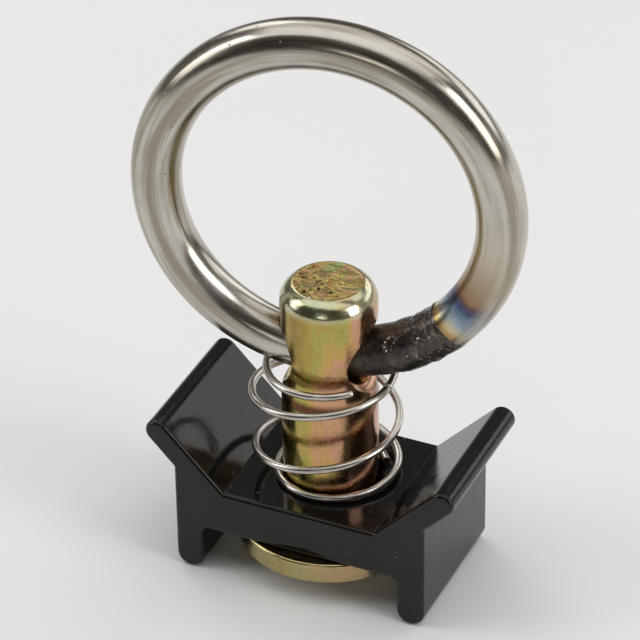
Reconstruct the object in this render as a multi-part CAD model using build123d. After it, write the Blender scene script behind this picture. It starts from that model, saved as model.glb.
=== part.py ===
"""Single-stud track fitting with a round ring.

A headed stud hangs in a sprung, winged keeper. The ring's bar runs through a
cross hole near the top of the stud, and the coil spring between the ring and
the keeper presses the keeper down on the stud's head.

Frame: origin on the stud's axis, in the plane of the keeper's two leg ends.
+X is the keeper's length, +Y its depth, +Z up the stud. Millimetres.
"""
import math
import os

from build123d import *

os.makedirs("parts", exist_ok=True)

# ------------------------------------------------------------ driving sizes
# keeper: one profile, KEEPER_D deep
KEEPER_D = 17.2          # depth along Y
LEG_X_OUT = 14.11        # outer face of each leg
LEG_X_IN = 11.06         # inner face of each leg
WEB_TOP = 10.48          # spring seat
WEB_T = 5.07             # web thickness
CREASE_X = 8.55          # where each wing leaves the web's top
WALL_TOP = 12.43         # where each wing leaves the leg's outer face
WING_ANGLE = 46.0        # wing slope above horizontal
WING_TIP_Z = 16.26       # centre of the rounded wing tip
LEG_END_R = 1.5          # rounding of the leg ends, seen from the front
CORNER_FILLET = 0.8      # inside corner between leg and web
CREASE_FILLET = 0.5      # inside corner between wing and web top
EDGE_R = 0.45            # rounded edges of the two end faces
BORE_R = 5.35            # stud bore

# stud: one turned piece
SHANK_R = 5.02
NECK_R = 4.80            # round the cross hole, below the upset end
NECK_Z = (20.6, 22.2, 30.2, 31.7)   # taper in, neck from, neck to, taper out
CAP_R = 5.05             # upset end
STUD_TOP = 34.05
STUD_FLAT_R = 3.72       # flat top face
STUD_SHOULDER_Z = 32.05  # where the shoulder starts
HEAD_R = 9.90
HEAD_BOTTOM = 3.02
HEAD_GAP = 0.04          # running gap under the keeper
HEAD_EDGE_R = 0.30
HOLE_Z = 25.78           # cross hole centre
HOLE_R = 3.20
HOLE_LIP = 0.80          # chamfered mouths of the cross hole
HOLE_LIP_R = 0.12        # softened edges of those chamfers
YAW = 8.6                # stud and ring turned against the keeper, degrees

# ring: round bar bent to a circle and welded shut
RING_R = 17.90           # to the bar's centre
BAR_R = 2.59
BAR_Z = 25.78            # bar centre at the ring's lowest point
WELD_FROM = 17.0         # degrees round the ring from its lowest point
WELD_TO = 43.5
WELD_PROUD = 0.14        # how far the weld metal stands proud of the bar

# spring: right-handed, barrel shaped, a closed coil at each end
WIRE_R = 0.41
# turns from the bottom end, mean radius, height of the wire's centre above the web
SPRING_KEYS = [
    (0.000, 5.85, 0.42), (0.252, 6.10, 0.42), (0.504, 5.55, 0.44), (0.757, 5.85, 0.53),
    (1.009, 7.20, 1.00), (1.261, 7.83, 2.17), (1.513, 7.84, 3.93), (1.765, 7.38, 5.83),
    (2.017, 7.15, 7.48), (2.270, 7.72, 9.30), (2.522, 8.10, 10.88), (2.774, 7.25, 12.42),
    (3.026, 6.68, 13.26), (3.278, 6.70, 13.33), (3.531, 6.42, 13.33), (3.783, 6.00, 13.58),
]
SPRING_START = 33.8      # direction of the bottom end, degrees from +X


def in_yaw(shape):
    return Rot(0, 0, YAW) * shape


# ------------------------------------------------------------ keeper
def keeper():
    a = math.radians(WING_ANGLE)
    d = (math.cos(a), math.sin(a))
    n = (math.sin(a), -math.cos(a))
    inner0 = (CREASE_X, WEB_TOP)
    outer0 = (LEG_X_OUT, WALL_TOP)
    t_in = n[0] * inner0[0] + n[1] * inner0[1]
    t_out = n[0] * outer0[0] + n[1] * outer0[1]
    tip_r = (t_out - t_in) / 2 - 0.001
    mid = (t_in + t_out) / 2
    tip = ((mid - n[1] * WING_TIP_Z) / n[0], WING_TIP_Z)

    def along(p, u, v):
        return (p[0] + u * d[0] + v * n[0], p[1] + u * d[1] + v * n[1])

    tip_in = along(tip, 0, -tip_r)
    tip_out = along(tip, 0, tip_r)
    tip_end = along(tip, tip_r, 0)
    w = (LEG_X_OUT - LEG_X_IN) / 2
    cx = LEG_X_IN + w
    zu = WEB_TOP - WEB_T
    s = CORNER_FILLET

    with BuildSketch(Plane.XZ) as sk:
        with BuildLine():
            Polyline((0, WEB_TOP), inner0, tip_in)
            ThreePointArc(tip_in, tip_end, tip_out)
            Polyline(tip_out, outer0, (LEG_X_OUT, w))
            ThreePointArc((LEG_X_OUT, w), (cx, 0), (LEG_X_IN, w))
            Polyline((LEG_X_IN, w), (LEG_X_IN, zu), (0, zu), (0, WEB_TOP))
        make_face()
        mirror(about=Plane.YZ)
    profile = sk.sketch
    body = extrude(profile, amount=KEEPER_D / 2, both=True)

    # inside corners, along the depth
    def at(e, x, z):
        c = e.center()
        return abs(abs(c.X) - x) < 0.02 and abs(c.Z - z) < 0.02 and abs(c.Y) < 0.02

    body = fillet([e for e in body.edges() if at(e, LEG_X_IN, zu)], s)
    body = fillet([e for e in body.edges() if at(e, CREASE_X, WEB_TOP)], CREASE_FILLET)

    h = KEEPER_D / 2

    # broken edges round both end faces
    for sy in (-1, 1):
        face = [f for f in body.faces() if abs(f.center().Y - sy * h) < 0.01]
        es = [e for f in face for e in f.edges()]
        try:
            body = chamfer_or_fillet(body, es)
        except Exception as err:
            print("end face edges left sharp:", sy, err)
    bore = Pos(0, 0, zu - 1) * Cylinder(BORE_R, WEB_T + 2, align=(Align.CENTER, Align.CENTER, Align.MIN))
    body -= bore
    rims = [e for e in body.edges() if e.geom_type == GeomType.CIRCLE and abs(e.radius - BORE_R) < 1e-3]
    body = chamfer(rims, 0.35)
    return body


def chamfer_or_fillet(body, es):
    try:
        return fillet(es, EDGE_R)
    except Exception:
        return chamfer(es, EDGE_R * 0.8)


# ------------------------------------------------------------ stud
def stud():
    zt = WEB_TOP - WEB_T - HEAD_GAP
    with BuildSketch(Plane.XZ) as sk:
        with BuildLine():
            Polyline((0, HEAD_BOTTOM), (HEAD_R - HEAD_EDGE_R, HEAD_BOTTOM))
            e = HEAD_EDGE_R
            m = math.sqrt(0.5)
            ThreePointArc((HEAD_R - e, HEAD_BOTTOM), (HEAD_R - e + e * m, HEAD_BOTTOM + e - e * m),
                          (HEAD_R, HEAD_BOTTOM + e))
            Line((HEAD_R, HEAD_BOTTOM + e), (HEAD_R, zt - e))
            ThreePointArc((HEAD_R, zt - e), (HEAD_R - e + e * m, zt - e + e * m), (HEAD_R - e, zt))
            z0, z1, z2, z3 = NECK_Z
            Polyline((HEAD_R - e, zt), (SHANK_R, zt), (SHANK_R, z0))
            Spline([(SHANK_R, z0), (NECK_R, z1)], tangents=[(0, 1), (0, 1)])
            Line((NECK_R, z1), (NECK_R, z2))
            Spline([(NECK_R, z2), (CAP_R, z3)], tangents=[(0, 1), (0, 1)])
            Line((CAP_R, z3), (CAP_R, STUD_SHOULDER_Z))
            # rounded shoulder up to the crisp rim of the flat top
            Spline([(CAP_R, STUD_SHOULDER_Z), (CAP_R - 0.42, STUD_SHOULDER_Z + 1.22),
                    (STUD_FLAT_R, STUD_TOP)], tangents=[(0, 1), (-0.86, 0.5)])
            Polyline((STUD_FLAT_R, STUD_TOP), (0, STUD_TOP), (0, HEAD_BOTTOM))
        make_face()
    body = revolve(sk.sketch, axis=Axis.Z)
    hole = Pos(0, 0, HOLE_Z) * Rot(0, 90, 0) * Cylinder(HOLE_R, 30)
    body -= hole
    mouths = []
    for e in body.edges():
        b = e.bounding_box()
        if HOLE_Z - HOLE_R - 0.1 < b.min.Z and b.max.Z < HOLE_Z + HOLE_R + 0.1 and b.size.Z > HOLE_R:
            mouths.append(e)
    body = chamfer(mouths, HOLE_LIP)
    rims = []
    for e in body.edges():
        b = e.bounding_box()
        if (HOLE_Z - HOLE_R - 2 < b.min.Z and b.max.Z < HOLE_Z + HOLE_R + 2
                and b.size.Z > HOLE_R * 0.9 and e.geom_type != GeomType.LINE):
            rims.append(e)
    print("lip edges", len(rims))
    try:
        body = fillet(rims, HOLE_LIP_R)
    except Exception as err:
        print("lip edges left sharp:", err)
    return in_yaw(body)


# ------------------------------------------------------------ ring and weld
RING_C = BAR_Z + RING_R


def ring_point(deg, r=RING_R):
    """Point on the ring, deg round from its lowest point towards +X."""
    t = math.radians(deg)
    return (r * math.sin(t), 0, RING_C - r * math.cos(t))


def ring():
    a0, a1 = WELD_TO, WELD_FROM + 360
    mid = (a0 + a1) / 2
    path = ThreePointArc(ring_point(a0), ring_point(mid), ring_point(a1))
    start = Plane(origin=ring_point(a0), z_dir=path % 0)
    with BuildSketch(start) as s:
        Circle(BAR_R)
    return in_yaw(sweep(s.sketch, path=path))


def ring_weld():
    a0, a1 = WELD_FROM, WELD_TO
    n = 9
    secs = []
    for i in range(n):
        f = i / (n - 1)
        deg = a0 + (a1 - a0) * f
        # full in the middle, down to the bar at both ends, gently uneven
        swell = math.sin(math.pi * f) ** 0.6 if 0 < f < 1 else 0.0
        r = BAR_R + WELD_PROUD * swell * (1 + 0.25 * math.sin(9 * f + 0.6))
        t = math.radians(deg)
        pl = Plane(origin=ring_point(deg), x_dir=(0, 1, 0), z_dir=(math.cos(t), 0, math.sin(t)))
        with BuildSketch(pl) as s:
            Circle(r)
        secs.append(s.sketch)
    return in_yaw(loft(secs))


# ------------------------------------------------------------ spring
def interp(keys, t, k):
    """Monotone cubic through the keys."""
    xs = [q[0] for q in keys]
    ys = [q[k] for q in keys]
    n = len(xs)
    h = [xs[i + 1] - xs[i] for i in range(n - 1)]
    d = [(ys[i + 1] - ys[i]) / h[i] for i in range(n - 1)]
    m = [d[0]] + [0.0 if d[i - 1] * d[i] <= 0 else 2 * d[i - 1] * d[i] / (d[i - 1] + d[i])
                  for i in range(1, n - 1)] + [d[-1]]
    i = max(j for j in range(n - 1) if xs[j] <= t + 1e-12)
    u = (t - xs[i]) / h[i]
    return ((2 * u ** 3 - 3 * u ** 2 + 1) * ys[i] + (u ** 3 - 2 * u ** 2 + u) * h[i] * m[i]
            + (-2 * u ** 3 + 3 * u ** 2) * ys[i + 1] + (u ** 3 - u ** 2) * h[i] * m[i + 1])


def spring():
    t_end = SPRING_KEYS[-1][0]
    n = int(24 * t_end)
    pts = []
    for i in range(n + 1):
        t = t_end * i / n
        r, z = (interp(SPRING_KEYS, t, k) for k in (1, 2))
        ang = math.radians(SPRING_START + 360 * t)
        pts.append((r * math.cos(ang), r * math.sin(ang), WEB_TOP + z))
    path = Spline(pts)
    with BuildSketch(Plane(origin=path @ 0, z_dir=path % 0)) as s:
        Circle(WIRE_R)
    return sweep(s.sketch, path=path, is_frenet=True)


nodes = {
    "stud": stud(),
    "keeper": keeper(),
    "spring": spring(),
    "ring": ring(),
    "ring_weld": ring_weld(),
}
for name, shape in nodes.items():
    solids = shape.solids()
    print(name, len(solids), [round(s.volume, 2) for s in solids], shape.is_valid)
    export_step(solids[0] if len(solids) == 1 else shape, f"parts/{name}.step")
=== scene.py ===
import math
import random

import bmesh
import bpy
from mathutils import Matrix, Vector, noise


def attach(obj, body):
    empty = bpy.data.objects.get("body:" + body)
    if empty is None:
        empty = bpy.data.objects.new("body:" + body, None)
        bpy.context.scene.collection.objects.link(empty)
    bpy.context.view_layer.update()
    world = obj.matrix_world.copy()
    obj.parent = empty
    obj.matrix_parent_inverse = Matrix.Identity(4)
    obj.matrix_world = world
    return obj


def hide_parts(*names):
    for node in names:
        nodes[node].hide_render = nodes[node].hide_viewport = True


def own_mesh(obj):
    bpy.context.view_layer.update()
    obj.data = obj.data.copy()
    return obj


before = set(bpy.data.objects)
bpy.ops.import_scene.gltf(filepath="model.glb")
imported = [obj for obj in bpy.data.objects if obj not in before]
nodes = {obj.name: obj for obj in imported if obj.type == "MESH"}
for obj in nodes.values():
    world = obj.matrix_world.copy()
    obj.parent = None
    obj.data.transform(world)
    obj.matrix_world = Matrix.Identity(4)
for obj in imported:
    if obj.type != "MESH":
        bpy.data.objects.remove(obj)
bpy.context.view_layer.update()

MM = 0.001
rng = random.Random(7)

# ------------------------------------------------------------------ known geometry, mm, row frame
YAW = math.radians(8.6)
WEB_TOP = 10.48
RING_R, BAR_R, BAR_Z = 17.90, 2.59, 25.78
RING_CZ = BAR_Z + RING_R
WELD_FROM, WELD_TO = 13.6, 45.8
WIRE_R = 0.41
SPRING_KEYS = [
    (0.000, 5.85, 0.42), (0.252, 6.10, 0.42), (0.504, 5.55, 0.44), (0.757, 5.85, 0.53),
    (1.009, 7.20, 1.00), (1.261, 7.83, 2.17), (1.513, 7.84, 3.93), (1.765, 7.38, 5.83),
    (2.017, 7.15, 7.48), (2.270, 7.72, 9.30), (2.522, 8.10, 10.88), (2.774, 7.25, 12.42),
    (3.026, 6.68, 13.26), (3.278, 6.70, 13.33), (3.531, 6.42, 13.33), (3.783, 6.00, 13.58),
]
SPRING_START = 33.8


def smooth(o):
    for p in o.data.polygons:
        p.use_smooth = True


def new_mesh(name, verts, faces, uvs=None, do_smooth=True):
    me = bpy.data.meshes.new(name)
    me.from_pydata([tuple(v) for v in verts], [], faces)
    me.validate()
    o = bpy.data.objects.new(name, me)
    bpy.context.scene.collection.objects.link(o)
    if do_smooth:
        smooth(o)
    return o


# ------------------------------------------------------------------ material helpers
class Mat:
    def __init__(self, name):
        self.m = bpy.data.materials.new(name)
        self.m.use_nodes = True
        self.t = self.m.node_tree
        self.t.nodes.clear()
        self.out = self.t.nodes.new("ShaderNodeOutputMaterial")
        self.b = self.t.nodes.new("ShaderNodeBsdfPrincipled")
        self.t.links.new(self.b.outputs[0], self.out.inputs[0])
        self.tc = self.t.nodes.new("ShaderNodeTexCoord")
        self.obj = self.tc.outputs["Object"]

    def put(self, sock, v):
        if isinstance(v, bpy.types.NodeSocket):
            self.t.links.new(v, sock)
        elif isinstance(v, (tuple, list)) and len(v) == 3 and sock.type == "RGBA":
            sock.default_value = (*v, 1)
        else:
            sock.default_value = v

    def set(self, name, v):
        self.put(self.b.inputs[name], v)

    def math(self, op, a, b=0.0, c=0.0, clamp=False):
        n = self.t.nodes.new("ShaderNodeMath")
        n.operation = op
        n.use_clamp = clamp
        for s, v in zip(n.inputs, (a, b, c)):
            self.put(s, v)
        return n.outputs[0]

    def xyz(self, v):
        n = self.t.nodes.new("ShaderNodeSeparateXYZ")
        self.put(n.inputs[0], v)
        return n.outputs

    def vec(self, x, y, z):
        n = self.t.nodes.new("ShaderNodeCombineXYZ")
        for s, v in zip(n.inputs, (x, y, z)):
            self.put(s, v)
        return n.outputs[0]

    def scale(self, v, s):
        n = self.t.nodes.new("ShaderNodeVectorMath")
        n.operation = "MULTIPLY"
        self.put(n.inputs[0], v)
        n.inputs[1].default_value = s if isinstance(s, (tuple, list)) else (s, s, s)
        return n.outputs[0]

    def noise(self, scale, detail=3, rough=0.55, v=None, dist=0.0):
        n = self.t.nodes.new("ShaderNodeTexNoise")
        self.put(n.inputs["Vector"], v or self.obj)
        n.inputs["Scale"].default_value = scale
        n.inputs["Detail"].default_value = detail
        n.inputs["Roughness"].default_value = rough
        n.inputs["Distortion"].default_value = dist
        return n.outputs[0]

    def voronoi(self, scale, v=None, feature="F1", rand=1.0):
        n = self.t.nodes.new("ShaderNodeTexVoronoi")
        n.feature = feature
        self.put(n.inputs["Vector"], v or self.obj)
        n.inputs["Scale"].default_value = scale
        n.inputs["Randomness"].default_value = rand
        return n.outputs["Distance"]

    def ramp(self, fac, stops, interp="LINEAR"):
        n = self.t.nodes.new("ShaderNodeValToRGB")
        n.color_ramp.interpolation = interp
        el = n.color_ramp.elements
        while len(el) < len(stops):
            el.new(0.5)
        for e, (p, c) in zip(el, stops):
            e.position = p
        for e, (p, c) in zip(el, stops):
            e.color = (c, c, c, 1) if isinstance(c, (int, float)) else (*c, 1)
        self.put(n.inputs[0], fac)
        return n.outputs[0]

    def band(self, v, lo, hi, a=0.0, b=1.0, smoothstep=True):
        n = self.t.nodes.new("ShaderNodeMapRange")
        n.interpolation_type = "SMOOTHSTEP" if smoothstep else "LINEAR"
        n.clamp = True if not smoothstep else n.clamp
        self.put(n.inputs["Value"], v)
        n.inputs["From Min"].default_value = lo
        n.inputs["From Max"].default_value = hi
        n.inputs["To Min"].default_value = a
        n.inputs["To Max"].default_value = b
        return n.outputs[0]

    def mix(self, fac, a, b, mode="MIX"):
        n = self.t.nodes.new("ShaderNodeMix")
        n.data_type = "RGBA"
        n.blend_type = mode
        n.clamp_factor = True
        self.put(n.inputs[0], fac)
        self.put(n.inputs[6], a)
        self.put(n.inputs[7], b)
        return n.outputs[2]

    def bump(self, height, strength, dist, normal=None):
        n = self.t.nodes.new("ShaderNodeBump")
        n.inputs["Strength"].default_value = strength
        n.inputs["Distance"].default_value = dist
        self.put(n.inputs["Height"], height)
        if normal is not None:
            self.put(n.inputs["Normal"], normal)
        return n.outputs[0]

    def normal(self, n):
        self.set("Normal", n)


def assign(o, mat):
    o.data.materials.clear()
    o.data.materials.append(mat.m if isinstance(mat, Mat) else mat)
    for p in o.data.polygons:
        p.material_index = 0


# ------------------------------------------------------------------ keeper: gloss black coat
def mat_keeper():
    m = Mat("gloss_black_coat")
    cloud = m.noise(140, 3, 0.6)
    base = m.ramp(cloud, [(0.30, (0.0050, 0.0046, 0.0044)), (0.55, (0.0075, 0.0068, 0.0064)),
                          (0.75, (0.0110, 0.0095, 0.0088))])
    # sparse dust and nibs in the coat
    cell = m.voronoi(1000)
    keepdots = m.band(m.noise(330, 1, 0.5), 0.56, 0.64)
    speck = m.math("MULTIPLY", m.band(cell, 0.05, 0.13, 1.0, 0.0), keepdots, clamp=True)
    base = m.mix(m.math("MULTIPLY", speck, 0.75), base, (0.22, 0.20, 0.18))
    # thin coat worn lighter on the corners, partly a painted highlight along the rounded edges
    bev = m.t.nodes.new("ShaderNodeBevel")
    bev.samples = 4
    bev.inputs["Radius"].default_value = 0.00045
    geo = m.t.nodes.new("ShaderNodeNewGeometry")
    dot = m.t.nodes.new("ShaderNodeVectorMath")
    dot.operation = "DOT_PRODUCT"
    m.put(dot.inputs[0], bev.outputs[0])
    m.put(dot.inputs[1], geo.outputs["Normal"])
    edge = m.band(dot.outputs["Value"], 0.985, 0.90)
    edge = m.math("MULTIPLY", edge, m.band(m.noise(420, 4, 0.7), 0.42, 0.68), clamp=True)
    # lighter edges: worn coat and a painted edge highlight
    base = m.mix(m.math("MULTIPLY", edge, 0.60), base, (0.120, 0.108, 0.098))
    m.set("Base Color", base)
    rough = m.math("ADD", m.band(m.noise(210, 4, 0.6), 0.3, 0.75, 0.07, 0.17),
                   m.math("MULTIPLY", speck, 0.3))
    m.set("Roughness", rough)
    m.set("IOR", 1.5)
    m.set("Specular IOR Level", 0.38)
    m.set("Specular Tint", (1.0, 0.96, 0.89, 1.0))
    peel = m.bump(m.noise(620, 2, 0.5), 0.18, 0.00012)
    fine = m.bump(m.noise(5200, 2, 0.5), 0.06, 0.00002, peel)
    nib = m.bump(speck, 0.5, 0.00006, fine)
    m.normal(nib)
    return m


# ------------------------------------------------------------------ stud: yellow chromate
def mat_stud():
    m = Mat("yellow_chromate")
    x, y, z = m.xyz(m.obj)
    # iridescence drifts over the surface in broad patches, with a fine mottle in it
    broad = m.noise(95, 2, 0.5, dist=0.6)
    mott = m.noise(900, 4, 0.65)
    around = m.math("ADD", m.math("MULTIPLY", x, 38.0), m.math("MULTIPLY", y, 24.0))
    streak = m.noise(1.0, 3, 0.6, v=m.vec(m.math("MULTIPLY", x, 520.0), m.math("MULTIPLY", y, 520.0),
                                          m.math("MULTIPLY", z, 90.0)))
    f = m.math("ADD", m.math("MULTIPLY", broad, 0.55), m.math("MULTIPLY", mott, 0.14))
    f = m.math("ADD", f, m.math("MULTIPLY", m.math("SUBTRACT", streak, 0.35), 0.55))
    f = m.math("ADD", f, around)
    f = m.math("SUBTRACT", f, m.math("MULTIPLY", m.math("SUBTRACT", m.math("MAXIMUM", z, 0.0175), 0.027), 11.0))
    col = m.ramp(f, [(0.12, (0.32, 0.22, 0.07)), (0.26, (0.46, 0.34, 0.09)),
                     (0.33, (0.42, 0.39, 0.11)), (0.40, (0.58, 0.38, 0.12)),
                     (0.50, (0.62, 0.33, 0.21)), (0.60, (0.54, 0.34, 0.16)),
                     (0.68, (0.60, 0.32, 0.24)), (0.82, (0.34, 0.42, 0.20))])
    # the film is thin and silvery green on the shoulder; the pale band there is also a painted highlight
    shoulder_film_and_highlight = m.math("MULTIPLY", m.band(z, 0.0317, 0.0328), m.band(m.noise(420, 3, 0.6), 0.30, 0.60, 0.35, 0.85))
    col = m.mix(shoulder_film_and_highlight, col, (0.56, 0.60, 0.42))
    # duller olive on the head
    low = m.math("MULTIPLY", m.band(z, 0.0056, 0.0064, 1.0, 0.0), m.band(m.noise(300, 3, 0.6), 0.30, 0.62, 0.35, 0.85))
    col = m.mix(low, col, (0.42, 0.37, 0.19))
    # painted shade: a dark brown line on the neck taper that stands in for the shaded step edge
    painted_step_shade = m.math("MULTIPLY", m.band(z, 0.0203, 0.0208), m.band(z, 0.0213, 0.0221, 1.0, 0.0), clamp=True)
    painted_step_shade = m.math("MULTIPLY", painted_step_shade, m.band(m.noise(350, 3, 0.6), 0.30, 0.55, 0.60, 1.0))
    col = m.mix(painted_step_shade, col, (0.13, 0.055, 0.028))
    # thin brown bloom where the film is heavier
    heavy = m.band(m.noise(260, 5, 0.7), 0.55, 0.75)
    col = m.mix(m.math("MULTIPLY", heavy, 0.35), col, (0.42, 0.27, 0.12))
    # rough sheared end
    r = m.math("SQRT", m.math("ADD", m.math("MULTIPLY", x, x), m.math("MULTIPLY", y, y)))
    top = m.math("MULTIPLY", m.band(z, 0.03380, 0.03390), m.band(r, 0.00360, 0.00370, 1.0, 0.0),
                 clamp=True)
    swirl = m.noise(230, 4, 0.6, dist=1.3)
    endcol = m.ramp(swirl, [(0.30, (0.24, 0.15, 0.055)), (0.40, (0.50, 0.28, 0.11)),
                            (0.47, (0.42, 0.38, 0.12)), (0.54, (0.56, 0.33, 0.17)),
                            (0.62, (0.38, 0.38, 0.14)), (0.76, (0.32, 0.46, 0.18))])
    pit = m.band(m.voronoi(1150, feature="F1"), 0.20, 0.36, 1.0, 0.0)
    pit = m.math("MULTIPLY", pit, m.band(m.noise(480, 2, 0.5), 0.46, 0.58), clamp=True)
    away = m.math("SQRT", m.math("ADD", m.math("POWER", m.math("ADD", x, 0.0010), 2.0),
                                 m.math("POWER", m.math("ADD", y, 0.0006), 2.0)))
    pit = m.math("MULTIPLY", pit, m.band(away, 0.0014, 0.0034, 1.6, 0.45))
    endcol = m.mix(m.math("MULTIPLY", pit, 0.85), endcol, (0.035, 0.022, 0.012))
    col = m.mix(top, col, endcol)
    # small dark nicks everywhere else
    nick = m.band(m.voronoi(520), 0.03, 0.09, 1.0, 0.0)
    nick = m.math("MULTIPLY", nick, m.band(m.noise(210, 2, 0.5, dist=0.3), 0.54, 0.62), clamp=True)
    col = m.mix(m.math("MULTIPLY", nick, 0.7), col, (0.10, 0.075, 0.04))
    pepper = m.math("MULTIPLY", m.band(m.noise(4200, 2, 0.6), 0.60, 0.70), m.band(m.noise(380, 3, 0.6), 0.38, 0.62),
                    clamp=True)
    col = m.mix(m.math("MULTIPLY", pepper, 0.55), col, (0.15, 0.10, 0.04))
    fleck = m.math("MULTIPLY", m.band(m.noise(3100, 1, 0.5), 0.68, 0.74), m.band(m.noise(260, 2, 0.5), 0.50, 0.60),
                   clamp=True)
    col = m.mix(m.math("MULTIPLY", fleck, 0.6), col, (0.45, 0.66, 0.62))
    m.set("Base Color", col)
    m.set("Metallic", 1.0)
    rr = m.band(m.noise(700, 4, 0.65), 0.3, 0.75, 0.13, 0.27)
    rr = m.math("ADD", rr, m.math("MULTIPLY", pepper, 0.20))
    rr = m.math("ADD", rr, m.math("MULTIPLY", top, 0.22))
    rr = m.math("ADD", rr, m.math("MULTIPLY", nick, 0.25))
    m.set("Roughness", rr)
    wave = m.bump(m.noise(240, 2, 0.5), 0.10, 0.00006)
    grain = m.bump(m.noise(2600, 3, 0.6), 0.30, 0.00004, wave)
    pits = m.bump(m.math("MULTIPLY", nick, -1.0), 0.6, 0.00008, grain)
    endb = m.math("MULTIPLY", top, m.math("SUBTRACT", m.noise(420, 4, 0.6), m.math("MULTIPLY", pit, 1.6)))
    m.normal(m.bump(endb, 0.55, 0.00012, pits))
    return m


# ------------------------------------------------------------------ ring: brushed stainless with heat tint
def ring_coords(m):
    """angle round the ring in degrees from its lowest point, unit direction from the ring centre, across, radius"""
    x, y, z = m.xyz(m.obj)
    c, s = math.cos(YAW), math.sin(YAW)
    u = m.math("ADD", m.math("MULTIPLY", x, c), m.math("MULTIPLY", y, s))
    v = m.math("SUBTRACT", m.math("MULTIPLY", y, c), m.math("MULTIPLY", x, s))
    w = m.math("SUBTRACT", z, RING_CZ * MM)
    ang = m.math("ARCTAN2", u, m.math("MULTIPLY", w, -1.0))
    rad = m.math("SQRT", m.math("ADD", m.math("MULTIPLY", u, u), m.math("MULTIPLY", w, w)))
    deg = m.math("MULTIPLY", ang, 180 / math.pi)
    return deg, (m.math("DIVIDE", u, rad), m.math("DIVIDE", w, rad)), v, rad


def mat_ring():
    m = Mat("brushed_stainless_bar")
    deg, way, v, rad = ring_coords(m)

    def along(length, width, detail, rough):
        """noise drawn out along the bar, without a seam"""
        n = m.t.nodes.new("ShaderNodeTexNoise")
        n.noise_dimensions = "4D"
        k = RING_R * MM * length
        m.put(n.inputs["Vector"], m.vec(m.math("MULTIPLY", way[0], k), m.math("MULTIPLY", way[1], k),
                                        m.math("MULTIPLY", v, width)))
        m.put(n.inputs["W"], m.math("MULTIPLY", rad, width))
        n.inputs["Scale"].default_value = 1.0
        n.inputs["Detail"].default_value = detail
        n.inputs["Roughness"].default_value = rough
        return n.outputs[0]

    # drawing lines run along the bar
    lines = along(70.0, 3200.0, 4, 0.65)
    wide = along(45.0, 760.0, 3, 0.6)
    hair = m.band(along(110.0, 6500.0, 2, 0.5), 0.64, 0.72)
    cloud = m.noise(170, 4, 0.6)
    base = m.ramp(cloud, [(0.30, (0.46, 0.435, 0.38)), (0.52, (0.55, 0.525, 0.465)), (0.75, (0.63, 0.605, 0.545))])
    base = m.mix(m.band(lines, 0.45, 0.72, 0.0, 0.50), base, (0.76, 0.74, 0.70))
    base = m.mix(m.band(wide, 0.40, 0.60, 0.0, 0.82), base, (0.270, 0.235, 0.180))
    base = m.mix(m.math("MULTIPLY", hair, 0.45), base, (0.13, 0.10, 0.075))
    # heat tint beside the weld, uneven like the real bloom
    wob = m.math("ADD", deg, m.math("MULTIPLY", m.math("SUBTRACT", m.noise(260, 3, 0.6), 0.5), 7.0))
    wob = m.math("ADD", wob, m.math("MULTIPLY", m.math("SUBTRACT", lines, 0.5), 3.0))
    t = m.band(wob, 44.0, 84.0, 0.0, 1.0, smoothstep=False)
    tint = m.ramp(t, [(0.03, (0.10, 0.07, 0.05)), (0.075, (0.42, 0.27, 0.09)), (0.13, (0.58, 0.48, 0.29)),
                      (0.19, (0.36, 0.42, 0.44)), (0.265, (0.15, 0.22, 0.31)), (0.35, (0.035, 0.06, 0.15)),
                      (0.42, (0.11, 0.055, 0.07)), (0.47, (0.27, 0.16, 0.085)), (0.60, (0.34, 0.25, 0.155)),
                      (1.0, (0.52, 0.44, 0.34))])
    amount = m.math("MULTIPLY", m.band(wob, 43.0, 45.0), m.band(wob, 66.0, 104.0, 1.0, 0.0), clamp=True)
    # the bloom is weaker on the outside of the bend
    amount = m.math("MULTIPLY", amount, m.band(rad, 0.0179, 0.0196, 1.0, 0.30))
    base = m.mix(m.math("MULTIPLY", amount, 0.94), base, tint)
    # dark scale on the bar where it enters the stud beside the weld; inside the cross hole this darkening is also
    # painted shade
    scale = m.math("MULTIPLY", m.band(wob, 2.0, 8.0), m.band(deg, 20.0, 22.0, 1.0, 0.0), clamp=True)
    base = m.mix(m.math("MULTIPLY", scale, 0.92), base, (0.07, 0.058, 0.048))
    # pits and small scratches
    pit = m.band(m.voronoi(820), 0.04, 0.12, 1.0, 0.0)
    pit = m.math("MULTIPLY", pit, m.band(m.noise(240, 2, 0.5), 0.55, 0.66), clamp=True)
    base = m.mix(m.math("MULTIPLY", pit, 0.75), base, (0.09, 0.075, 0.06))
    m.set("Base Color", base)
    m.set("Metallic", 1.0)
    rr = m.band(lines, 0.30, 0.72, 0.13, 0.27)
    rr = m.math("ADD", rr, m.band(cloud, 0.40, 0.75, 0.0, 0.08))
    rr = m.math("ADD", rr, m.math("MULTIPLY", scale, 0.25))
    m.set("Roughness", rr)
    b1 = m.bump(lines, 0.16, 0.00003)
    b2 = m.bump(m.noise(130, 2, 0.5), 0.25, 0.00018, b1)
    m.normal(m.bump(m.math("MULTIPLY", pit, -1.0), 0.6, 0.00007, b2))
    return m


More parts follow.
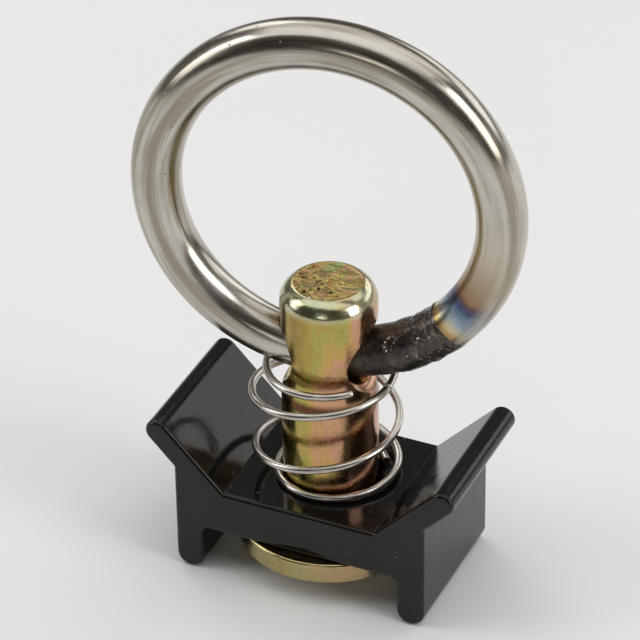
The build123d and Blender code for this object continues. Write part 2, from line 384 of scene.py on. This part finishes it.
def mat_weld():
    m = Mat("dressed_weld")
    cloud = m.noise(380, 5, 0.68)
    base = m.ramp(cloud, [(0.28, (0.022, 0.019, 0.018)), (0.48, (0.055, 0.048, 0.043)),
                          (0.62, (0.105, 0.090, 0.078)), (0.76, (0.24, 0.20, 0.165))])
    crust = m.band(m.noise(1500, 4, 0.7), 0.58, 0.74)
    base = m.mix(m.math("MULTIPLY", crust, 0.5), base, (0.20, 0.17, 0.14))
    wx, wy, wz = m.xyz(m.obj)
    half = m.band(wx, 0.0088, 0.0108)
    crumb = m.math("MULTIPLY", half, m.band(m.noise(1700, 3, 0.6, dist=0.8), 0.52, 0.66), clamp=True)
    base = m.mix(m.math("MULTIPLY", crumb, 0.60), base, (0.30, 0.255, 0.215))
    glint = m.band(m.voronoi(1300), 0.05, 0.14, 1.0, 0.0)
    glint = m.math("MULTIPLY", glint, m.band(m.noise(430, 2, 0.5), 0.60, 0.68), clamp=True)
    base = m.mix(glint, base, (0.70, 0.66, 0.60))
    m.set("Base Color", base)
    m.set("Metallic", m.band(cloud, 0.25, 0.8, 0.55, 0.90))
    m.set("Roughness", m.math("SUBTRACT", m.band(m.noise(800, 4, 0.6), 0.3, 0.75, 0.22, 0.44),
                              m.math("MULTIPLY", glint, 0.2)))
    b = m.bump(m.noise(650, 4, 0.65), 0.4, 0.00012)
    m.normal(m.bump(m.noise(3000, 3, 0.6), 0.3, 0.00004, b))
    return m


def mat_spatter():
    m = Mat("weld_spatter")
    c = m.noise(2200, 3, 0.6)
    m.set("Base Color", m.ramp(c, [(0.3, (0.22, 0.19, 0.16)), (0.6, (0.55, 0.50, 0.45)), (0.8, (0.78, 0.75, 0.70))]))
    m.set("Metallic", 0.9)
    m.set("Roughness", m.band(c, 0.3, 0.8, 0.18, 0.36))
    m.normal(m.bump(c, 0.2, 0.00004))
    return m


def mat_spring():
    m = Mat("drawn_spring_wire")
    uv = m.tc.outputs["UV"]
    s = m.xyz(uv)
    # u runs along the wire, v round it
    st = m.vec(m.math("MULTIPLY", s[0], 900.0), m.math("MULTIPLY", s[1], 60.0), 0.0)
    lines = m.noise(1.0, 3, 0.6, v=st)
    cloud = m.noise(300, 4, 0.6)
    base = m.ramp(cloud, [(0.30, (0.40, 0.37, 0.325)), (0.52, (0.54, 0.51, 0.465)), (0.75, (0.68, 0.655, 0.61))])
    base = m.mix(m.band(lines, 0.50, 0.75, 0.0, 0.45), base, (0.34, 0.31, 0.27))
    m.set("Base Color", base)
    m.set("Metallic", 1.0)
    m.set("Roughness", m.band(lines, 0.3, 0.75, 0.17, 0.33))
    m.normal(m.bump(lines, 0.2, 0.00003))
    return m


# ------------------------------------------------------------------ spring wire, two pieces
def interp(keys, t, k):
    xs = [q[0] for q in keys]
    ys = [q[k] for q in keys]
    n = len(xs)
    h = [xs[i + 1] - xs[i] for i in range(n - 1)]
    d = [(ys[i + 1] - ys[i]) / h[i] for i in range(n - 1)]
    mm = [d[0]] + [0.0 if d[i - 1] * d[i] <= 0 else 2 * d[i - 1] * d[i] / (d[i - 1] + d[i])
                   for i in range(1, n - 1)] + [d[-1]]
    i = max(j for j in range(n - 1) if xs[j] <= t + 1e-12)
    u = (t - xs[i]) / h[i]
    return ((2 * u ** 3 - 3 * u ** 2 + 1) * ys[i] + (u ** 3 - 2 * u ** 2 + u) * h[i] * mm[i]
            + (-2 * u ** 3 + 3 * u ** 2) * ys[i + 1] + (u ** 3 - u ** 2) * h[i] * mm[i + 1])


def wire_point(t):
    r, z = (interp(SPRING_KEYS, t, k) for k in (1, 2))
    a = math.radians(SPRING_START + 360 * t)
    return Vector((r * math.cos(a), r * math.sin(a), WEB_TOP + z)) * MM


def wire(name, t0, t1, round_ends=(True, True), per_turn=120, sides=20):
    n = max(int((t1 - t0) * per_turn), 8)
    pts = [wire_point(t0 + (t1 - t0) * i / n) for i in range(n + 1)]
    rings, uvs = [], []
    arc = 0.0
    stations = []
    for i, p in enumerate(pts):
        a = pts[max(i - 1, 0)]
        b = pts[min(i + 1, n)]
        tan = (b - a).normalized()
        stations.append((p, tan, 1.0))
    # a cut end: a small broken edge, then the flat
    def ends(first):
        p, tan, _ = stations[0] if first else stations[-1]
        s = -1 if first else 1
        return [(p + tan * s * 0.02 * MM, tan, 0.985), (p + tan * s * 0.05 * MM, tan, 0.93),
                (p + tan * s * 0.062 * MM, tan, 0.84)]
    if round_ends[0]:
        stations = list(reversed(ends(True))) + stations
    if round_ends[1]:
        stations = stations + ends(False)
    verts, faces, loops_uv = [], [], []
    prev = None
    for k, (p, tan, s) in enumerate(stations):
        up = Vector((0, 0, 1))
        nrm = (up - tan * up.dot(tan)).normalized()
        bi = tan.cross(nrm)
        if prev is not None:
            arc += (p - prev).length
        prev = p
        for j in range(sides):
            a = 2 * math.pi * j / sides
            verts.append(p + (nrm * math.cos(a) + bi * math.sin(a)) * WIRE_R * MM * s)
            uvs.append((arc, j / sides))
    m = len(stations)
    for k in range(m - 1):
        for j in range(sides):
            a, b = k * sides + j, k * sides + (j + 1) % sides
            faces.append((a, b, b + sides, a + sides))
    faces.append(tuple(reversed(range(sides))))
    faces.append(tuple(range((m - 1) * sides, m * sides)))
    o = new_mesh(name, verts, faces)
    lay = o.data.uv_layers.new(name="UVMap")
    for poly in o.data.polygons:
        vs = [o.data.loops[li].vertex_index for li in poly.loop_indices]
        wrap = max(uvs[v][1] for v in vs) - min(uvs[v][1] for v in vs) > 0.5
        for li, v in zip(poly.loop_indices, vs):
            u, w = uvs[v]
            lay.data[li].uv = (u, w + 1.0 if wrap and w < 0.5 else w)
    o.data.polygons[len(o.data.polygons) - 1].use_smooth = False
    o.data.polygons[len(o.data.polygons) - 2].use_smooth = False
    return o


SPLIT_Z = 12.90
t_split = next(i / 2000 for i in range(5000, 7000) if interp(SPRING_KEYS, i / 2000, 2) >= SPLIT_Z)
coils = wire("spring_coils", 0.0, t_split, (True, False))
top_coil = wire("spring_top_coil", t_split, SPRING_KEYS[-1][0], (False, True))

# ------------------------------------------------------------------ weld: a lumpy dressed joint
def ring_frame(deg):
    t = math.radians(deg)
    e_u = Vector((math.cos(YAW), math.sin(YAW), 0))
    e_v = Vector((-math.sin(YAW), math.cos(YAW), 0))
    radial = e_u * math.sin(t) + Vector((0, 0, -1)) * math.cos(t)
    centre = Vector((0, 0, RING_CZ)) + radial * RING_R
    along = e_u * math.cos(t) + Vector((0, 0, 1)) * math.sin(t)
    return centre, radial, e_v, along


def weld_mesh():
    n_along, n_round = 220, 180
    verts, faces = [], []
    # crater ring and glints sit on the side that faces -Y
    crater = (25.0, math.radians(-127))
    for i in range(n_along + 1):
        f = i / n_along
        deg = WELD_FROM + (WELD_TO - WELD_FROM) * f
        c, rad, ev, al = ring_frame(deg)
        for j in range(n_round):
            a = 2 * math.pi * j / n_round
            d = rad * math.cos(a) + ev * math.sin(a)
            p = c + d * BAR_R
            swell = min(1.0, (math.sin(math.pi * f)) ** 0.6 if 0 < f < 1 else 0.0)
            coarse = 0.45 if deg < 33 else 1.0
            lump = (noise.noise(p * 0.6) * 0.13 + noise.noise(p * 1.5) * 0.075 * coarse
                    + noise.noise(p * 3.4) * 0.040 * coarse + noise.noise(p * 8.0) * 0.016 * coarse)
            # two heats of weld meet in a shallow groove, a ridge beside it
            g = (deg - 33.4 - 1.2 * noise.noise(p * 0.7)) / 0.9
            groove = -0.060 * math.exp(-g * g) + 0.045 * math.exp(-((g - 1.8) ** 2) / 1.1)
            # flash crest at the end towards the tinted bar
            e = (deg - 44.5 - 0.8 * noise.noise(p * 0.9)) / 0.75
            crest = 0.075 * math.exp(-e * e)
            # crater
            da = (a - crater[1] + math.pi) % (2 * math.pi) - math.pi
            dist = math.hypot((deg - crater[0]) * math.radians(1) * RING_R, da * BAR_R)
            ringc = 0.10 * math.exp(-((dist - 0.75 - 0.15 * noise.noise(p * 3.1)) / 0.22) ** 2)
            pit = -0.10 * math.exp(-(dist / 0.5) ** 2)
            h = 0.055 + lump + groove + ringc + pit
            h = max(-0.10, min(0.19, h)) * swell + crest * (0.6 + 0.6 * noise.noise(p * 2.2))
            if deg < 20.5:
                h = min(h, 0.11 * max(0.0, (deg - 17.0) / 3.5) + 0.010)
                h = max(h, 0.004)
            q = c + d * (BAR_R + h)
            if deg > 40:
                q += al * (0.42 * noise.noise(d * 2.6 + Vector((5, 5, 5))) + 0.16 * noise.noise(d * 8.0)) * (deg - 40) / 5.8
            verts.append(q * MM)
    for i in range(n_along):
        for j in range(n_round):
            a, b = i * n_round + j, i * n_round + (j + 1) % n_round
            faces.append((a, a + n_round, b + n_round, b))
    faces.append(tuple(range(n_round)))
    faces.append(tuple(reversed(range(n_along * n_round, (n_along + 1) * n_round))))
    o = new_mesh("ring_weld_bead", verts, faces)
    return o


def spatter_mesh():
    """tiny beads fused to the weld, one mesh"""
    bm = bmesh.new()
    spots = []
    for k in range(11):  # round the crater
        ang = 2 * math.pi * k / 13 + rng.uniform(-0.2, 0.2)
        rr = 0.72 + rng.uniform(-0.16, 0.16)
        spots.append((25.0 + math.degrees(rr * math.cos(ang) / RING_R), math.radians(-127) + rr * math.sin(ang) / BAR_R,
                      rng.uniform(0.08, 0.19)))
    spots += [(36.5, math.radians(-118), 0.16), (35.5, math.radians(-112), 0.07), (43.0, math.radians(-172), 0.12),
              (41.8, math.radians(-165), 0.08), (40.2, math.radians(-176), 0.08), (38.4, math.radians(-180), 0.07),
              (44.2, math.radians(-150), 0.07), (44.6, math.radians(-100), 0.06)]
    for _ in range(34):
        spots.append((rng.uniform(21.5, 42.5), rng.uniform(-math.pi, math.pi), rng.uniform(0.030, 0.075)))
    for deg, a, r in spots:
        c, rad, ev, al = ring_frame(deg)
        d = rad * math.cos(a) + ev * math.sin(a)
        p = (c + d * (BAR_R + 0.085 - 0.35 * r)) * MM
        turn = d.to_track_quat("Z", "Y").to_matrix().to_4x4() @ Matrix.Rotation(rng.uniform(0, 6.28), 4, "Z")
        shape = Matrix.Diagonal((rng.uniform(0.8, 1.5), rng.uniform(0.7, 1.1), 0.8, 1.0))
        made = bmesh.ops.create_icosphere(bm, subdivisions=3, radius=r * MM,
                                          matrix=Matrix.Translation(p) @ turn @ shape)
        for v in made["verts"]:
            q = v.co / MM
            v.co += (v.co - p) * 0.28 * noise.noise(q * 9.0)
    me = bpy.data.meshes.new("weld_spatter")
    bm.to_mesh(me)
    bm.free()
    o = bpy.data.objects.new("weld_spatter", me)
    bpy.context.scene.collection.objects.link(o)
    smooth(o)
    return o


def seg(a, b, step):
    n = max(1, int(math.ceil(math.hypot(b[0] - a[0], b[1] - a[1]) / step)))
    return [(a[0] + (b[0] - a[0]) * i / n, a[1] + (b[1] - a[1]) * i / n) for i in range(n)]


def arc_pts(cx, cz, r, a0, a1, n):
    return [(cx + r * math.cos(math.radians(a0 + (a1 - a0) * i / n)),
             cz + r * math.sin(math.radians(a0 + (a1 - a0) * i / n))) for i in range(n)]


def ease(a, b, n):
    """taper with vertical tangents at both ends"""
    out = []
    for i in range(n):
        t = i / n
        k = t * t * (3 - 2 * t)
        out.append((a[0] + (b[0] - a[0]) * k, a[1] + (b[1] - a[1]) * t))
    return out


def stud_mesh():
    head_r, z0, z1, e = 9.90, 3.02, 5.37, 0.30
    prof = seg((0.02, z0), (head_r - e, z0), 0.5)
    prof += arc_pts(head_r - e, z0 + e, e, -90, 0, 8) + seg((head_r, z0 + e), (head_r, z1 - e), 0.2)
    prof += arc_pts(head_r - e, z1 - e, e, 0, 90, 8) + seg((head_r - e, z1), (5.42, z1), 0.25)
    prof += arc_pts(5.42, z1 + 0.4, 0.4, -90, -180, 8)  # small root radius
    prof += seg((5.02, z1 + 0.4), (5.02, 20.6), 0.25) + ease((5.02, 20.6), (4.80, 22.2), 14)
    prof += seg((4.80, 22.2), (4.80, 24.4), 0.25) + ease((4.80, 24.4), (5.05, 31.95), 40)
    prof += seg((5.05, 31.95), (5.05, 32.05), 0.12)
    # shoulder: a soft curve through the measured point, up to the crisp rim
    p0, p1, p2 = (5.05, 32.05), (4.63, 33.27), (3.72, 34.05)
    sh = []
    for i in range(22):
        t = i / 22
        if t < 0.5:
            q = t * 2
            a, b, ta, tb = p0, p1, (0.0, 1.5), (-0.62, 1.03)
        else:
            q = t * 2 - 1
            a, b, ta, tb = p1, p2, (-0.62, 1.03), (-1.05, 0.60)
        h0, h1 = 2 * q ** 3 - 3 * q * q + 1, -2 * q ** 3 + 3 * q * q
        g0, g1 = q ** 3 - 2 * q * q + q, q ** 3 - q * q
        sh.append((h0 * a[0] + h1 * b[0] + g0 * ta[0] + g1 * tb[0], h0 * a[1] + h1 * b[1] + g0 * ta[1] + g1 * tb[1]))
    prof += sh
    rim = len(prof)
    prof += seg((3.72, 34.05), (0.03, 34.05), 0.075) + [(0.03, 34.05)]
    n = 180
    verts, faces = [], []
    for k, (r, z) in enumerate(prof):
        for j in range(n):
            a = 2 * math.pi * j / n
            p = Vector((r * math.cos(a), r * math.sin(a), z))
            if k > rim + 1:  # sheared end, torn and pitted
                fade = min(1.0, (3.72 - r) / 0.35)
                h = noise.noise(p * 0.8) * 0.07 + noise.noise(p * 2.4 + Vector((3, 1, 0))) * 0.030 \
                    + noise.noise(p * 7.0) * 0.008
                c = noise.noise(p * 2.2 + Vector((7, 2, 5)))
                left = 0.5 + 0.5 * max(-1.0, min(1.0, -(p.x * 0.91 + p.y * 0.41) / 2.0))
                if c > 0.18:
                    h -= min(0.22, (c - 0.18) * 1.6) * left
                p.z += fade * (h - 0.05)
            elif 5.8 < z < 33.9:
                w = 0.012 * noise.noise(p * 0.35) + 0.006 * noise.noise(p * 1.6)
                p.x += w * math.cos(a)
                p.y += w * math.sin(a)
            elif r > 9.0:
                w = min(0.0, 0.03 * noise.noise(p * 0.9) - 0.004) - (0.10 if noise.noise(p * 1.9) > 0.52 else 0.0)
                p.x += w * math.cos(a)
                p.y += w * math.sin(a)
            verts.append(p * MM)
    m = len(prof)
    for k in range(m - 1):
        for j in range(n):
            a, b = k * n + j, k * n + (j + 1) % n
            faces.append((a, b, b + n, a + n))
    faces.append(tuple(reversed(range(n))))
    faces.append(tuple(range((m - 1) * n, m * n)))
    return new_mesh("stud_body", verts, faces)


def hole_cutter():
    """cross hole with a mouth that opens round along the saddle of the shank"""
    us = [0.0]
    us = [-9 + i * 0.5 for i in range(8)] + [-5.0 + i * 0.08 for i in range(126)] + [5.5 + i * 0.5 for i in range(8)]
    n = 128
    verts, faces = [], []
    for u in us:
        for j in range(n):
            a = 2 * math.pi * j / n
            edge = math.sqrt(4.80 ** 2 - (3.7 * math.cos(a)) ** 2)
            q = abs(u) - (edge - 0.80)
            r = 3.2
            if q > 0:
                r += 0.78 * (q / 0.80) ** 1.35
            v, w = r * math.cos(a), r * math.sin(a)
            verts.append(Vector((u * math.cos(YAW) - v * math.sin(YAW), u * math.sin(YAW) + v * math.cos(YAW),
                                 25.78 + w)) * MM)
    m = len(us)
    for k in range(m - 1):
        for j in range(n):
            a, b = k * n + j, k * n + (j + 1) % n
            faces.append((a, b, b + n, a + n))
    faces.append(tuple(reversed(range(n))))
    faces.append(tuple(range((m - 1) * n, m * n)))
    return new_mesh("cutter", verts, faces)


def fix_normals(o):
    bm = bmesh.new()
    bm.from_mesh(o.data)
    bmesh.ops.recalc_face_normals(bm, faces=bm.faces)
    bm.to_mesh(o.data)
    bm.free()


def sharpen(o, deg):
    bm = bmesh.new()
    bm.from_mesh(o.data)
    for e in bm.edges:
        if len(e.link_faces) == 2:
            e.smooth = e.calc_face_angle(0.0) < math.radians(deg)
    for f in bm.faces:
        f.smooth = True
    bm.to_mesh(o.data)
    bm.free()


def ring_mesh():
    n_along, n_round = 560, 72
    a0, a1 = 45.0, 360.0 + 17.6
    verts, faces = [], []
    for i in range(n_along + 1):
        deg = a0 + (a1 - a0) * i / n_along
        c, rad, ev, al = ring_frame(deg)
        for j in range(n_round):
            a = 2 * math.pi * j / n_round
            d = rad * math.cos(a) + ev * math.sin(a)
            p = c + d * BAR_R
            # drawn and bent bar: faint flats along it and a soft waviness
            h = 0.010 * noise.noise(Vector((math.cos(a) * 1.6, math.sin(a) * 1.6, deg * 0.02))) \
                + 0.008 * noise.noise(p * 0.30) + 0.003 * noise.noise(p * 1.2)
            verts.append((c + d * (BAR_R + h - 0.004)) * MM)
    for i in range(n_along):
        for j in range(n_round):
            a, b = i * n_round + j, i * n_round + (j + 1) % n_round
            faces.append((a, a + n_round, b + n_round, b))
    faces.append(tuple(range(n_round)))
    faces.append(tuple(reversed(range(n_along * n_round, (n_along + 1) * n_round))))
    return new_mesh("ring_bar", verts, faces)


stud = stud_mesh()
fix_normals(stud)
cutter = hole_cutter()
fix_normals(cutter)
mod = stud.modifiers.new("hole", "BOOLEAN")
mod.operation = "DIFFERENCE"
mod.solver = "EXACT"
mod.object = cutter
dg = bpy.context.evaluated_depsgraph_get()
cut = bpy.data.meshes.new_from_object(stud.evaluated_get(dg))
stud.modifiers.clear()
stud.data = cut
bpy.data.objects.remove(cutter, do_unlink=True)
sharpen(stud, 38)
ring_bar = ring_mesh()
fix_normals(ring_bar)
weld = weld_mesh()
spatter = spatter_mesh()

# ------------------------------------------------------------------ materials on everything
assign(nodes["keeper"], mat_keeper())
assign(nodes["stud"], mat_stud())
assign(nodes["ring"], mat_ring())
sp = mat_spring()
assign(stud, nodes["stud"].data.materials[0])
assign(ring_bar, nodes["ring"].data.materials[0])
assign(coils, sp)
assign(top_coil, sp)
assign(weld, mat_weld())
assign(spatter, mat_spatter())

# ------------------------------------------------------------------ what each piece rides on
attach(stud, "stud")
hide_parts("stud")
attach(ring_bar, "ring")
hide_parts("ring")
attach(coils, "spring")
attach(top_coil, "spring")
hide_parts("spring")
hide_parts("spring")
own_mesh(coils)
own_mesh(top_coil)
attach(weld, "ring")
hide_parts("ring_weld")
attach(spatter, "ring")

# ------------------------------------------------------------------ floor
bpy.ops.mesh.primitive_circle_add(radius=1.4, vertices=96, fill_type='NGON', location=(0, 0, 0))
floor = bpy.context.object
floor.name = "floor"
fm = Mat("pale_floor")
fn = fm.noise(9.0, 3, 0.5)
fm.set("Base Color", fm.ramp(fn, [(0.3, (0.86, 0.86, 0.86)), (0.7, (0.90, 0.90, 0.90))]))
fm.set("Roughness", 0.85)
fm.set("Specular IOR Level", 0.1)
assign(floor, fm)

# ------------------------------------------------------------------ light
scene = bpy.context.scene
world = bpy.data.worlds.new("studio")
scene.world = world
world.use_nodes = True
wt = world.node_tree
bg = wt.nodes["Background"]
tcw = wt.nodes.new("ShaderNodeTexCoord")
sep = wt.nodes.new("ShaderNodeSeparateXYZ")
wt.links.new(tcw.outputs["Generated"], sep.inputs[0])
wr = wt.nodes.new("ShaderNodeValToRGB")
mr = wt.nodes.new("ShaderNodeMapRange")
mr.inputs["From Min"].default_value = -1.0
mr.inputs["From Max"].default_value = 1.0
wt.links.new(sep.outputs[2], mr.inputs["Value"])
wt.links.new(mr.outputs[0], wr.inputs[0])
els = wr.color_ramp.elements
while len(els) < 5:
    els.new(0.5)
for e, (p, c) in zip(els, [(0.0, 0.10), (0.49, 0.12), (0.56, 0.20), (0.75, 0.16), (1.0, 0.42)]):
    e.position = p
    e.color = (c, c * 0.95, c * 0.88, 1)
# darker towards the viewer's side, lighter behind the object
fr = wt.nodes.new("ShaderNodeMapRange")
fr.inputs["From Min"].default_value = -1.0
fr.inputs["From Max"].default_value = 1.0
fr.inputs["To Min"].default_value = 0.45
fr.inputs["To Max"].default_value = 1.6
wt.links.new(sep.outputs[1], fr.inputs["Value"])
wm = wt.nodes.new("ShaderNodeVectorMath")
wm.operation = "SCALE"
wt.links.new(wr.outputs[0], wm.inputs[0])
wt.links.new(fr.outputs[0], wm.inputs["Scale"])
wt.links.new(wm.outputs[0], bg.inputs[0])
bg.inputs[1].default_value = 0.63


def area(name, loc, target, size, power, color=(1, 1, 1)):
    ld = bpy.data.lights.new(name, "AREA")
    ld.shape = "RECTANGLE"
    ld.size, ld.size_y = size
    ld.energy = power
    ld.color = color
    lo = bpy.data.objects.new(name, ld)
    scene.collection.objects.link(lo)
    lo.location = loc
    lo.rotation_euler = (Vector(target) - Vector(loc)).to_track_quat("-Z", "Y").to_euler()
    return lo


area("softbox_top", (0.0, 0.10, 0.78), (0, 0, 0.02), (1.30, 1.20), 4.6)
area("softbox_back", (0.40, 0.80, 0.33), (0, 0, 0.04), (1.0, 0.34), 1.6)
area("softbox_rim", (-0.70, 0.55, 0.62), (0, 0, 0.05), (0.40, 0.40), 1.0)
area("softbox_left", (-0.60, -0.25, 0.36), (0, 0, 0.03), (0.26, 0.50), 1.25)
area("softbox_right", (0.62, -0.06, 0.30), (0, 0, 0.03), (0.30, 0.46), 1.65)
area("softbox_front", (0.10, -0.72, 0.22), (0, 0, 0.03), (0.22, 0.12), 0.2)

# ------------------------------------------------------------------ camera
az, el, roll = 0.4346672704560227, 0.5939738482064442, -0.015478579971818694
dist, ox, oy = 396.1955, -1.1691, 15.6136
back = Vector((math.sin(az) * math.cos(el), -math.cos(az) * math.cos(el), math.sin(el)))
right0 = Vector((math.cos(az), math.sin(az), 0))
up0 = right0.cross(-back)
right = math.cos(roll) * right0 + math.sin(roll) * up0
up = -math.sin(roll) * right0 + math.cos(roll) * up0
pos = (dist * back + ox * right + oy * up + Vector((0, 0, WEB_TOP))) * MM
cam_data = bpy.data.cameras.new("camera")
cam_data.sensor_width = 36.0
cam_data.lens = 3788.114 / 640 * 36.0
cam_data.clip_start = 0.01
cam_data.clip_end = 20.0
cam_data.dof.use_dof = False
cam = bpy.data.objects.new("camera", cam_data)
scene.collection.objects.link(cam)
rot = Matrix((right, up, back)).transposed()
cam.matrix_world = Matrix.Translation(pos) @ rot.to_4x4()
scene.camera = cam
scene.view_settings.view_transform = "Standard"
scene.view_settings.look = "None"
scene.view_settings.exposure = 0.0
scene.view_settings.gamma = 1.0


bpy.context.view_layer.update()
